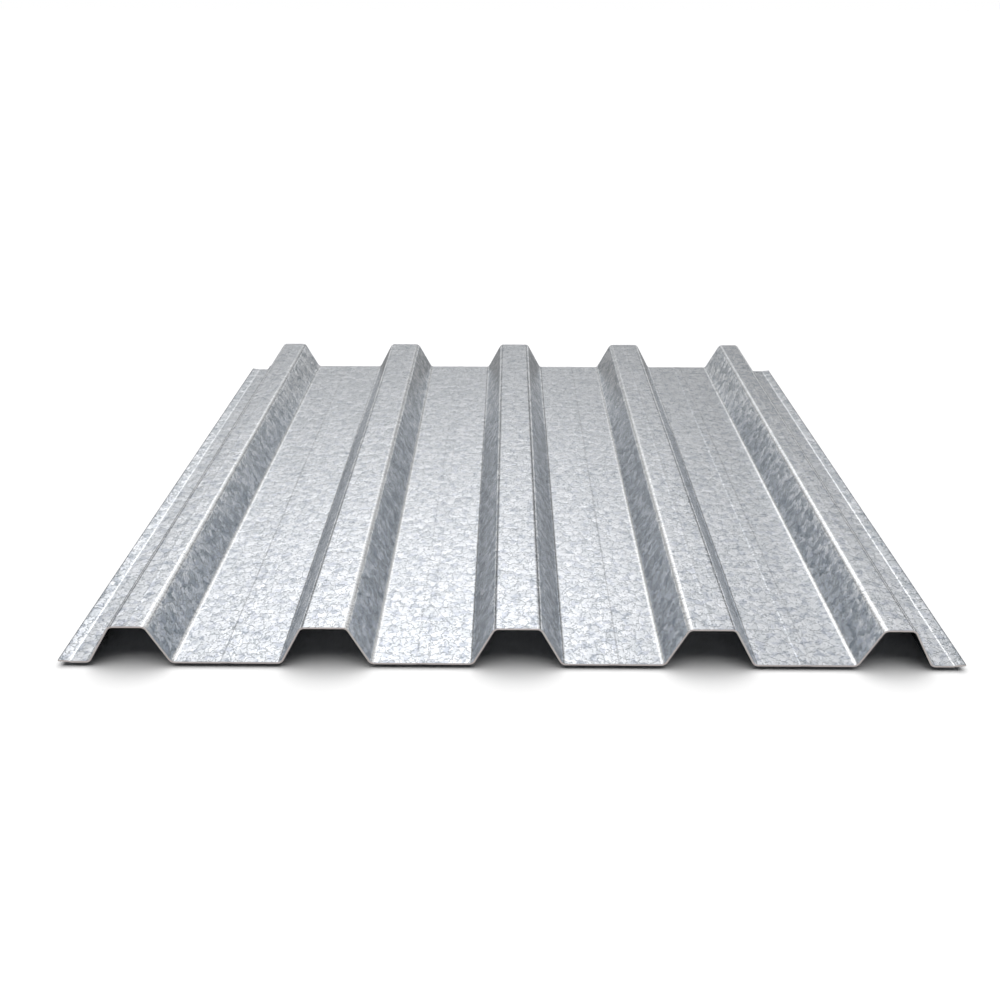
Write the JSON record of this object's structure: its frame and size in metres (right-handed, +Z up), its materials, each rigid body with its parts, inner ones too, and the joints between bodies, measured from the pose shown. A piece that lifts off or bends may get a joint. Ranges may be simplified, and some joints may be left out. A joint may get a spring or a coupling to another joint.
{
  "type": "corrugated metal sheet",
  "caption": "Galvanised trapezoidal steel sheet with sloping ribs, ridged crests, beaded pans and flat side-lap flanges.",
  "frame": {"origin": "middle of the sheet's plan, on the plane that its pans rest on", "axes": "+X across the ribs to the underlap edge, +Y along the ribs to the end with the notched flanges, +Z up out of the upper face"},
  "size_m": [0.8656, 0.9, 0.041],
  "materials": {
    "galvanised_steel": "hot-dip galvanised, small wrinkled spangle, semi-matt, with bare cut edges"
  },
  "bodies": {
    "root": {"profiled_sheet": "galvanised_steel"}
  },
  "joints": []
}
